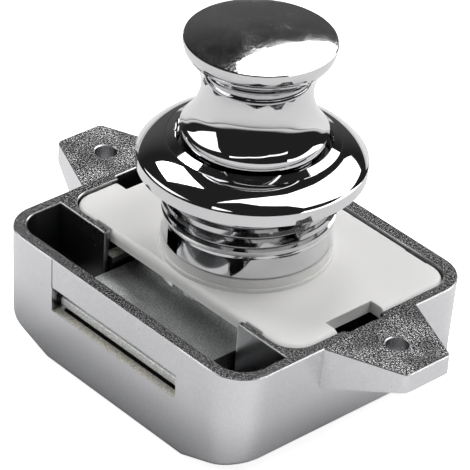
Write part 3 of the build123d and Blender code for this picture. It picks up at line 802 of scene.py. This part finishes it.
def smooth(points: Profile) -> Profile:
    """Points of the natural cubic spline through points, without the first.

    Args:
        points: what the curve runs through.

    Returns:
        The curve's points.
    """
    fixed = np.array(points)
    gaps = np.linalg.norm(np.diff(fixed, axis=0), axis=1)
    system, pull = np.eye(len(fixed)), np.zeros_like(fixed)
    for k in range(1, len(fixed) - 1):
        before, after = gaps[k - 1], gaps[k]
        system[k, k - 1:k + 2] = before, 2 * (before + after), after
        pull[k] = 6 * ((fixed[k + 1] - fixed[k]) / after - (fixed[k] - fixed[k - 1]) / before)
    bend = np.linalg.solve(system, pull)
    curve = []
    for k, gap in enumerate(gaps):
        for step in range(1, SPLINE_STEPS + 1):
            b = step / SPLINE_STEPS
            a = 1 - b
            sag = ((a ** 3 - a) * bend[k] + (b ** 3 - b) * bend[k + 1]) * gap ** 2 / 6
            curve.append(tuple(a * fixed[k] + b * fixed[k + 1] + sag))
    return curve


def round_z(radius: float, height: float, turn: float) -> tuple[float, float, float]:
    """The place in metres of a radius and height in millimetres, at an angle from +X in radians."""
    return (radius * MM * math.cos(turn), radius * MM * math.sin(turn), height * MM)


def lathe(name: str, profile: Profile) -> Object:
    """Turns a closed profile round Z.

    Args:
        name: the object's name.
        profile: radius and height of each point in millimetres, in order round the section.

    Returns:
        The new object.
    """
    bm = bmesh.new()
    rings = []
    for radius, height in profile:
        if radius < AXIS_RADIUS:
            rings.append([bm.verts.new(round_z(0.0, height, 0.0))])
            continue
        turns = (math.tau * k / TURNED_FACETS for k in range(TURNED_FACETS))
        rings.append([bm.verts.new(round_z(radius, height, turn)) for turn in turns])
    for low, high in zip(rings, rings[1:] + rings[:1]):
        for k in range(TURNED_FACETS):
            after = (k + 1) % TURNED_FACETS
            corners = [low[k % len(low)], low[after % len(low)], high[after % len(high)], high[k % len(high)]]
            corners = list(dict.fromkeys(corners))
            if len(corners) > 2:
                bm.faces.new(corners)
    return mesh_object(name, bm, TURNED_CREASE)


def mesh_object(name: str, bm: bmesh.types.BMesh, crease: float) -> Object:
    """Makes a smooth-shaded object whose edges above an angle stay sharp.

    Args:
        name: the object's name.
        bm: the closed mesh, which is freed.
        crease: the angle in degrees.

    Returns:
        The new object.
    """
    bmesh.ops.recalc_face_normals(bm, faces=bm.faces)
    for face in bm.faces:
        face.smooth = True
    for edge in bm.edges:
        edge.smooth = len(edge.link_faces) == 2 and edge.calc_face_angle(0.0) < math.radians(crease)
    mesh = bpy.data.meshes.new(name)
    bm.to_mesh(mesh)
    bm.free()
    return add_object(name, mesh)


def dress_node(node: Object, material: Material) -> None:
    """Gives a CAD node one material in all its slots."""
    node.data.materials.clear()
    node.data.materials.append(material)


@dataclass
class Knob:
    """The turned knob, in millimetres.

    Args:
        radius: largest radius.
        edge_z: level of the head's edge.
        crown: rise of the crown above the edge.
        rim: height of the straight band under the edge.
        bevel: bevel of the edge.
        waist: radius of the waist.
        foot: radius of the foot.
        foot_top_z: top of the foot.
        foot_bottom_z: bottom of the foot.
        skirt: radius of the skirt that runs in the barrel.
        bottom_z: lower end of the skirt.
        side_shares: share of the way from waist to radius and of the height, from foot to rim.
    """

    radius: float = 11.22
    edge_z: float = 35.45
    crown: float = 1.35
    rim: float = 0.95
    bevel: float = 0.15
    waist: float = 8.25
    foot: float = 10.95
    foot_top_z: float = 20.8
    foot_bottom_z: float = 19.4
    skirt: float = 10.6
    bottom_z: float = 16.5
    side_shares: tuple[Point, ...] = (
        (0.73, 0.044), (0.582, 0.088), (0.414, 0.146), (0.28, 0.204), (0.167, 0.27), (0.033, 0.38),
        (0.0, 0.474), (0.05, 0.584), (0.2, 0.693), (0.4, 0.774), (0.65, 0.847), (0.893, 0.92),
    )

    def profile(self) -> Profile:
        """The knob's section.

        Returns:
            The closed section, from the axis at the bottom round to the axis at the top.
        """
        rim_z = self.edge_z - self.rim
        span, height = self.radius - self.waist, rim_z - self.foot_top_z
        side = [(self.waist + r * span, self.foot_top_z + z * height) for r, z in self.side_shares]
        crown_foot = (self.radius - self.bevel, self.edge_z)
        ball = (crown_foot[0] ** 2 + self.crown ** 2) / (2 * self.crown)
        top = (0.0, self.edge_z + self.crown)
        half = (self.radius / 2, top[1] - ball + math.sqrt(ball ** 2 - (self.radius / 2) ** 2))
        foot = (self.foot, self.foot_top_z)
        points = [(0.0, self.bottom_z), (self.skirt, self.bottom_z), (self.skirt, self.foot_bottom_z)]
        points += [(self.foot, self.foot_bottom_z), foot]
        points += smooth([foot, *side, (self.radius, rim_z)])
        points += [(self.radius, self.edge_z - self.bevel), crown_foot]
        return points + arc(crown_foot, half, top)

    def build(self, chrome: Material) -> None:
        """Makes the knob and lets it stand for its CAD node.

        Args:
            chrome: its material.
        """
        knob = lathe("knob_turned", self.profile())
        knob.data.materials.append(chrome)
        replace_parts(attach(knob, "button"), "knob")
        log.info("knob of %d points round the section", len(self.profile()))


@dataclass
class Rosette:
    """The domed ring under the knob, in millimetres.

    Args:
        bore: radius of the opening round the knob's foot.
        lip: width of the lip's cone.
        lip_rise: step to the top of the lip.
        step: width of the flat at the lip's foot.
        dome: width of the dome in plan.
        rise: rim to step.
        rim: height of the straight rim.
        bottom_z: underside.
        thread_bore: radius of the bore over the thread.
        roof_z: level of the bore's roof.
        bevel: bevel at the rim's top.
        dome_shares: share of the dome's width and of its rise where its arc passes.
        lip_bevel: bevel at the lip's edge.
    """

    bore: float = 11.6
    lip: float = 1.3
    lip_rise: float = 0.6
    step: float = 0.1
    dome: float = 4.1
    rise: float = 2.55
    rim: float = 2.0
    bottom_z: float = 14.05
    thread_bore: float = 13.15
    roof_z: float = 18.0
    bevel: float = 0.15
    dome_shares: Point = (0.57, 0.577)
    lip_bevel: float = 0.06

    def profile(self) -> Profile:
        """The rosette's section.

        Returns:
            The closed section, from the bore's lower edge outwards and round.
        """
        rim_z = self.bottom_z + self.rim
        lip_foot = self.bore + self.lip
        step_r = lip_foot + self.step
        radius = step_r + self.dome
        step_z = rim_z + self.rise
        lip_z = step_z + self.lip_rise
        foot = (radius - self.bevel, rim_z)
        crest = (step_r + self.dome_shares[0] * self.dome, rim_z + self.dome_shares[1] * self.rise)
        points = [(self.thread_bore, self.bottom_z), (radius, self.bottom_z), (radius, rim_z - self.bevel)]
        points += [foot] + arc(foot, crest, (step_r, step_z)) + [(lip_foot, step_z)]
        fall = self.lip_bevel * self.lip_rise / self.lip
        points += [(self.bore + self.lip_bevel, lip_z - fall), (self.bore, lip_z - fall - self.lip_bevel)]
        return points + [(self.bore, self.roof_z), (self.thread_bore, self.roof_z)]

    def build(self, chrome: Material) -> None:
        """Makes the rosette and lets it stand for its CAD node.

        Args:
            chrome: its material.
        """
        rosette = lathe("rosette_turned", self.profile())
        rosette.data.materials.append(chrome)
        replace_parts(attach(rosette, "rosette_ring"), "rosette")
        log.info("rosette")


@dataclass
class Barrel:
    """The threaded tube under the rosette, in millimetres, with its screw thread cut as a helix.

    Args:
        seat_z: foot of the metal barrel.
        top_z: its upper end.
        plain: radius of the plain foot.
        plain_height: height of the plain foot.
        crest: radius over the thread.
        depth: depth of the thread.
        pitch: rise of the thread in one turn.
        crest_width: width of a ridge's top.
        phase: share of a turn by which the thread is turned.
        spare: ridges that the outline starts below the thread's foot.
        bore: radius of the bore.
        neck: radius of the neck that runs through the plate.
        neck_bore: its bore.
        step_z: level of the step between the two bores.
        neck_bottom_z: lower end of the neck.
        spring_seat: bore, upper and lower level of the spring's seat.
        window_turns: angles from +X of the windows, in degrees.
        window: width and height of a window.
        columns: facets round.
    """

    seat_z: float = 2.03
    top_z: float = 17.8
    plain: float = 12.6
    plain_height: float = 3.25
    crest: float = 13.05
    depth: float = 0.7
    pitch: float = 1.7
    crest_width: float = 0.75
    phase: float = 0.3
    spare: int = 2
    bore: float = 11.2
    neck: float = 11.6
    neck_bore: float = 10.3
    step_z: float = 2.2
    neck_bottom_z: float = -3.1
    spring_seat: tuple[float, float, float] = (8.35, -1.1, -2.1)
    window_turns: tuple[float, float] = (-104.0, 76.0)
    window: tuple[float, float] = (3.2, 2.9)
    columns: int = 288

    def thread(self, turn: float) -> Profile:
        """The thread's outline at one angle, from the plain foot to the top.

        Args:
            turn: the angle from +X as a share of a full turn.

        Returns:
            Radius and height of each point, the same number at every angle.
        """
        start = self.seat_z + self.plain_height
        root = self.crest - self.depth
        # A ridge's two flanks and the root beside it are equally wide.
        flank = (self.pitch - self.crest_width) / 3
        section = ((0.0, root), (flank, root), (2 * flank, self.crest), (self.pitch - flank, self.crest))
        first = start + self.pitch * (turn + self.phase - self.spare)
        points = []
        for ridge in range(math.ceil((self.top_z - start) / self.pitch) + self.spare + 1):
            foot = first + ridge * self.pitch
            points += [(radius, foot + rise) for rise, radius in section]
        ends = []
        for place in (start, self.top_z):
            after = next(k for k, point in enumerate(points) if point[1] > place)
            (r0, z0), (r1, z1) = points[after - 1], points[after]
            ends.append(r0 + (r1 - r0) * (place - z0) / (z1 - z0))
        outline = []
        for radius, height in points:
            low, high = height <= start, height >= self.top_z
            radius = ends[0] if low else ends[1] if high else radius
            height = min(max(height, start), self.top_z)
            fade = min((height - start) / self.pitch, 1.0)
            outline.append((self.plain + (radius - self.plain) * fade, height))
        return outline

    def sections(self) -> tuple[Profile, Profile]:
        """The parts of the section that are the same all round.

        Returns:
            The foot, with the window's edges, and the inside from the top down and out to the foot.
        """
        middle = self.seat_z + self.plain_height / 2
        low, high = middle - self.window[1] / 2, middle + self.window[1] / 2
        seat_bore, seat_top, seat_bottom = self.spring_seat
        foot = [(self.plain, self.seat_z), (self.plain, low), (self.plain, high)]
        inside = [(self.bore, self.top_z), (self.bore, high), (self.bore, low), (self.bore, self.step_z)]
        inside += [(self.neck_bore, self.step_z), (self.neck_bore, seat_top), (seat_bore, seat_top)]
        inside += [(seat_bore, seat_bottom), (self.neck_bore, seat_bottom)]
        inside += [(self.neck_bore, self.neck_bottom_z), (self.neck, self.neck_bottom_z)]
        return foot, inside + [(self.neck, self.seat_z)]

    def build(self, chrome: Material) -> None:
        """Makes the barrel and lets it stand for its CAD node.

        Args:
            chrome: its material.
        """
        foot, inside = self.sections()
        half = math.degrees(math.asin(self.window[0] / 2 / self.plain))
        gaps = [((turn - half) % 360, (turn + half) % 360) for turn in self.window_turns]
        edges = [edge for gap in gaps for edge in gap]
        step = 360 / self.columns
        plain = (k * step for k in range(self.columns))
        angles = [angle for angle in plain if all(abs(angle - edge) > step / 2 for edge in edges)]
        angles = sorted(angles + edges) + [360.0]
        bm = bmesh.new()
        rings = []
        for angle in angles:
            column = foot + self.thread(angle / 360) + inside
            turn = math.radians(angle)
            rings.append([bm.verts.new(round_z(radius, height, turn)) for radius, height in column])
        count = len(rings[0])
        outer, inner = 1, count - len(inside) + 1
        for angle, ring, after in zip(angles, rings, rings[1:]):
            opened = any(gap[0] <= angle < gap[1] for gap in gaps)
            for row in range(count):
                up = (row + 1) % count
                if not (opened and row in (outer, inner)):
                    bm.faces.new((ring[row], after[row], after[up], ring[up]))
            if opened:
                bm.faces.new((ring[outer], ring[inner + 1], after[inner + 1], after[outer]))
                bm.faces.new((ring[outer + 1], after[outer + 1], after[inner], ring[inner]))
        for ring in (rings[angles.index(edge)] for edge in edges):
            bm.faces.new((ring[outer], ring[outer + 1], ring[inner], ring[inner + 1]))
        bmesh.ops.remove_doubles(bm, verts=bm.verts, dist=WELD_DISTANCE)
        barrel = mesh_object("barrel_threaded", bm, THREAD_CREASE)
        barrel.data.materials.append(chrome)
        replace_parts(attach(barrel, "case"), "barrel")
        log.info("barrel with its thread")


@dataclass(frozen=True)
class Spring:
    """A coil in place of its rigid CAD node, built at its full length. Lengths are in millimetres.

    Args:
        node: the CAD node that it stands for.
        body: the body that it rides on.
        joint: the joint that would shorten it, named only in the log.
        along: index of its axis.
        travel: how much shorter it is at the joint's limit; not used.
        wire: radius of the wire.
        turns: full turns.
        steps: places along each turn.
        sides: facets round the wire.
    """

    node: str
    body: str
    joint: str
    along: int
    travel: float
    wire: float
    turns: int
    steps: int = 48
    sides: int = 10

    def build(self, steel: Material) -> None:
        """Makes the coil between the ends of its CAD node; its low end stays put.

        Args:
            steel: its material.
        """
        low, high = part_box(self.node)
        length = high[self.along] - low[self.along]
        wire = self.wire * MM
        first, second = (k for k in range(3) if k != self.along)
        coil = (high[first] - low[first]) / 2 - wire
        axis = [0.0, 0.0, 0.0]
        axis[self.along] = 1.0
        up = Vector(axis)
        bm = bmesh.new()
        rings = []
        count = self.turns * self.steps
        for k in range(count + 1):
            turn = math.tau * k / self.steps
            out = Vector()
            out[first], out[second] = math.cos(turn), math.sin(turn)
            place = (low + high) / 2 + out * coil
            place[self.along] = low[self.along] + wire + (length - 2 * wire) * k / count
            angles = (math.tau * side / self.sides for side in range(self.sides))
            ring = [place + (out * math.cos(t) + up * math.sin(t)) * wire for t in angles]
            rings.append([bm.verts.new(point) for point in ring])
        for ring, after in zip(rings, rings[1:]):
            for side in range(self.sides):
                ahead = (side + 1) % self.sides
                bm.faces.new((ring[side], ring[ahead], after[ahead], after[side]))
        bm.faces.new(rings[0])
        bm.faces.new(rings[-1])
        piece = mesh_object(f"{self.node}_coil", bm, COIL_CREASE)
        piece.data.materials.append(steel)
        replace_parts(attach(piece, self.body), self.node)
        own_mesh(piece)
        log.info("%s shortens with %s", self.node, self.joint)


@dataclass
class Lock:
    """All finishes of the lock and the CAD nodes that wear them.

    Args:
        cast_chrome: the tray.
        bright_chrome: the rosette.
        crown_chrome: the knob.
        satin_chrome: the barrel.
        white_plastic: the cover plate.
        grey_plastic: the plunger.
        zinc_plate: nut, carriage and bolt.
        steel: stud, pins and screw.
        spring_steel: springs, clips, washer and wires.
        worn_by: the CAD nodes that wear each finish.
        springs: the coils.
    """

    cast_chrome: Finish = CastFinish(
        "cast_chrome", (0.80, 0.80, 0.82), roughness=0.26, roughness_spread=0.015, shade=0.05,
        grain=0.0003, grain_height=0.000008, fleck=0.07,
    )
    bright_chrome: Finish = Finish(
        "bright_chrome", (0.70, 0.70, 0.71), roughness=0.035, roughness_spread=0.02, shade=0.03, under=0.15
    )
    crown_chrome: Finish = CrownFinish(
        "crown_chrome", (0.70, 0.70, 0.71), roughness=0.035, roughness_spread=0.02, shade=0.03
    )
    satin_chrome: Finish = Finish(
        "satin_chrome", (0.66, 0.66, 0.67), roughness=0.07, roughness_spread=0.03, shade=0.1,
        patch=0.004, crevice=0.0005, crevice_share=0.3,
    )
    white_plastic: Finish = Finish(
        "white_plastic", (0.89, 0.885, 0.87), metallic=0.0, roughness=0.42, roughness_spread=0.06,
        shade=0.02, grain=0.0005, grain_height=0.000006,
    )
    grey_plastic: Finish = Finish(
        "grey_plastic", (0.12, 0.12, 0.12), metallic=0.0, roughness=0.5, grain=0.0004, grain_height=0.00001
    )
    zinc_plate: Finish = Finish(
        "zinc_plate", (0.86, 0.88, 0.87), roughness=0.36, roughness_spread=0.08, shade=0.2,
        grain=0.00025, grain_height=0.00006, fleck=0.35, crevice=0.0009,
    )
    steel: Finish = Finish("steel", (0.62, 0.61, 0.59), roughness=0.28, grain_height=0.00001)
    spring_steel: Finish = Finish("spring_steel", (0.50, 0.50, 0.50), roughness=0.3, grain_height=0.00001)
    worn_by: dict[str, tuple[str, ...]] = field(default_factory=lambda: {
        "cast_chrome": ("housing",),
        "bright_chrome": (),
        "crown_chrome": (),
        "satin_chrome": ("barrel",),
        "white_plastic": ("cover_plate",),
        "grey_plastic": ("plunger",),
        "zinc_plate": ("barrel_nut", "carriage", "bolt"),
        "steel": ("knob_stud", "guide_pins", "leaf_screw"),
        "spring_steel": (
            "knob_washer", "return_spring", "pin_clips", "bolt_spring_left", "bolt_spring_right",
            "latch_wire", "wire_leaf",
        ),
    })
    springs: tuple[Spring, ...] = (
        Spring("return_spring", "case", "button_push", 2, 12.0, 0.45, 4),
        Spring("bolt_spring_left", "bolt_group", "bolt_retract", 1, 5.4, 0.22, 5),
        Spring("bolt_spring_right", "bolt_group", "bolt_retract", 1, 5.4, 0.22, 5),
    )

    def build(self, nodes: dict[str, Object]) -> None:
        """Dresses the CAD nodes and builds the turned parts and the springs.

        Args:
            nodes: the frame's nodes.
        """
        made = {finish: getattr(self, finish).build() for finish in self.worn_by}
        for finish, names in self.worn_by.items():
            for name in names:
                dress_node(nodes[name], made[finish])
                log.info("%s wears %s", name, finish)
        Knob().build(made["crown_chrome"])
        Rosette().build(made["bright_chrome"])
        Barrel().build(made["satin_chrome"])
        for spring in self.springs:
            spring.build(made["spring_steel"])


def main() -> None:
    logging.basicConfig(level=logging.INFO, format="%(name)s: %(message)s")
    bpy.context.scene.view_settings.view_transform = "Standard"
    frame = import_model()
    cad_low, cad_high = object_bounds()
    Studio().build(cad_low.z)
    Lock().build(frame["nodes"])


if __name__ == "__main__":
    main()
